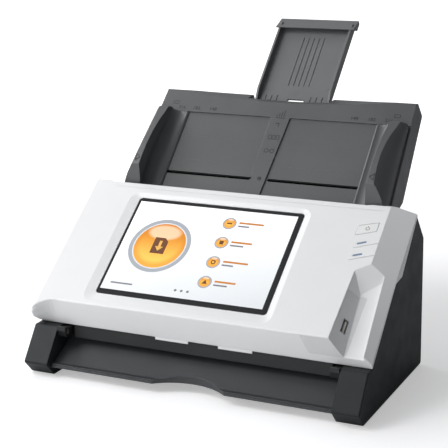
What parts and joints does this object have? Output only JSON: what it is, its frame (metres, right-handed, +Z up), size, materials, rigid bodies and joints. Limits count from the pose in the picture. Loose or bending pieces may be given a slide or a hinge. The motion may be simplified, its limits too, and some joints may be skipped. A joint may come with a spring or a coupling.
{
  "type": "document scanner",
  "caption": "Desktop sheet-fed document scanner: tilted touch display on a hinged white cover, dark sides, sloping sheet tray with paired guides and a slide-out extension.",
  "frame": {"origin": "centre of the footprint of the whole unit with the extension drawn out, on the surface it stands on", "axes": "+X to the right seen from the front, +Y to the back, +Z up"},
  "size_m": [0.3188, 0.321, 0.2903],
  "materials": {
    "white_plastic": "satin moulded",
    "light_grey_plastic": "satin moulded",
    "dark_plastic": "fine textured",
    "tray_plastic": "fine textured",
    "grey_plastic": "satin moulded",
    "black_plastic": "matte moulded",
    "white_nylon": "natural nylon",
    "bright_steel": "ground",
    "board_metal": "pressed sheet",
    "brass": "sintered",
    "black_rubber": "matte",
    "roller_rubber": "ground",
    "clear_glass": "polished",
    "screen_front": "glossy",
    "circuit_board": "solder mask",
    "indicator_lens": "translucent"
  },
  "bodies": {
    "base": {"base_plate": "dark_plastic", "rubber_feet": "black_rubber", "side_housing_left": "dark_plastic", "side_housing_right": "dark_plastic", "output_plate": "dark_plastic", "inner_frame": "black_plastic", "roller_bushes": "brass", "rear_cover": "dark_plastic", "main_board": "circuit_board", "power_jack": "black_plastic", "data_sockets": "bright_steel", "lower_guide": "black_plastic", "lower_scan_bar": "black_plastic", "lower_scan_glass": "clear_glass", "stepper_motor": "bright_steel", "tray_shell": "tray_plastic", "tray_back_plate": "black_plastic"},
    "cover": {"front_cover": "white_plastic", "socket_corner": "light_grey_plastic", "usb_shell": "bright_steel", "usb_tongue": "white_nylon", "display_glass": "screen_front", "display_panel": "board_metal", "driver_board": "circuit_board", "indicator_windows": "indicator_lens", "button_board": "circuit_board", "cover_inner_plate": "black_plastic", "hinge_arms": "dark_plastic", "hinge_pins": "bright_steel", "upper_scan_bar": "black_plastic", "upper_scan_glass": "clear_glass", "holder_pin": "bright_steel"},
    "button": {"power_button": "white_plastic"},
    "drive_pinch": {"drive_pinch_axle": "bright_steel", "drive_pinch_rollers": "white_nylon"},
    "exit_pinch": {"exit_pinch_axle": "bright_steel", "exit_pinch_rollers": "white_nylon"},
    "pad": {"pad_holder": "black_plastic", "separation_pad": "roller_rubber"},
    "feed_roller": {"feed_shaft": "bright_steel", "feed_tyres": "roller_rubber", "feed_gear": "white_nylon"},
    "feed_idler": {"feed_idler_gear": "white_nylon"},
    "drive_roller": {"drive_shaft": "bright_steel", "drive_tyres": "roller_rubber", "drive_gear": "white_nylon"},
    "exit_idler": {"exit_idler_gear": "white_nylon"},
    "exit_roller": {"exit_shaft": "bright_steel", "exit_tyres": "roller_rubber", "exit_gear": "white_nylon"},
    "motor_shaft": {"motor_pinion": "brass"},
    "right_fence": {"right_guide": "tray_plastic"},
    "left_fence": {"left_guide": "tray_plastic"},
    "fence_pinion": {"rack_pinion": "white_nylon"},
    "extension": {"tray_extension": "grey_plastic"},
    "sensor": {"sensor_lever": "black_plastic"}
  },
  "joints": [
    {"name": "cover_hinge", "type": "hinge", "parent": "base", "child": "cover", "pos_m": [0, -0.13656, 0.0382], "axis": [1, 0, 0], "range_deg": [0, 60]},
    {"name": "power_press", "type": "slide", "parent": "cover", "child": "button", "axis": [0, 0.6004, -0.7997], "range_m": [0, 0.0008], "stiffness_N_per_m": 400, "springref_m": -0.0006},
    {"name": "drive_pinch_spin", "type": "hinge", "parent": "cover", "child": "drive_pinch", "pos_m": [0, -0.07293, 0.09005], "axis": [1, 0, 0], "continuous": true},
    {"name": "exit_pinch_spin", "type": "hinge", "parent": "cover", "child": "exit_pinch", "pos_m": [0, -0.11171, 0.05248], "axis": [1, 0, 0], "continuous": true},
    {"name": "pad_tilt", "type": "hinge", "parent": "cover", "child": "pad", "pos_m": [0, -0.05435, 0.10896], "axis": [1, 0, 0], "range_deg": [0, 6], "stiffness_Nm_per_rad": 0.3, "springref_deg": -5.73},
    {"name": "drive_spin", "type": "hinge", "parent": "base", "child": "drive_roller", "pos_m": [0, -0.06367, 0.0805], "axis": [1, 0, 0], "continuous": true},
    {"name": "feed_spin", "type": "hinge", "parent": "base", "child": "feed_roller", "pos_m": [0, -0.02999, 0.10897], "axis": [1, 0, 0], "continuous": true},
    {"name": "feed_idler_spin", "type": "hinge", "parent": "base", "child": "feed_idler", "pos_m": [0, -0.03867, 0.08848], "axis": [1, 0, 0], "continuous": true},
    {"name": "exit_idler_spin", "type": "hinge", "parent": "base", "child": "exit_idler", "pos_m": [0, -0.08123, 0.05837], "axis": [1, 0, 0], "continuous": true},
    {"name": "exit_spin", "type": "hinge", "parent": "base", "child": "exit_roller", "pos_m": [0, -0.10245, 0.04292], "axis": [1, 0, 0], "continuous": true},
    {"name": "motor_spin", "type": "hinge", "parent": "base", "child": "motor_shaft", "pos_m": [0, -0.06479, 0.04193], "axis": [1, 0, 0], "continuous": true},
    {"name": "right_fence_slide", "type": "slide", "parent": "base", "child": "right_fence", "axis": [-1, 0, 0], "range_m": [0, 0.072]},
    {"name": "left_fence_slide", "type": "slide", "parent": "base", "child": "left_fence", "axis": [1, 0, 0], "range_m": [0, 0.072]},
    {"name": "fence_pinion_spin", "type": "hinge", "parent": "base", "child": "fence_pinion", "pos_m": [0, 0.0089, 0.15549], "axis": [0, -0.6959, 0.7181], "range_deg": [0, 520]},
    {"name": "extension_slide", "type": "slide", "parent": "base", "child": "extension", "axis": [0, 0.7181, 0.6959], "range_m": [-0.092, 0]},
    {"name": "sensor_swing", "type": "hinge", "parent": "base", "child": "sensor", "pos_m": [0.07, -0.04881, 0.09678], "axis": [1, 0, 0], "range_deg": [0, 30], "stiffness_Nm_per_rad": 0.001, "springref_deg": -17.19}
  ],
  "couplings": [
    {"joint": "feed_idler_spin", "follows": "drive_spin", "ratio": -0.85714},
    {"joint": "feed_spin", "follows": "drive_spin", "ratio": 1.5},
    {"joint": "exit_idler_spin", "follows": "drive_spin", "ratio": -0.75},
    {"joint": "exit_spin", "follows": "drive_spin", "ratio": 1.2},
    {"joint": "motor_spin", "follows": "drive_spin", "ratio": 1.7143},
    {"joint": "left_fence_slide", "follows": "right_fence_slide", "ratio": 1},
    {"joint": "fence_pinion_spin", "follows": "right_fence_slide", "rad_per_m": 125}
  ]
}
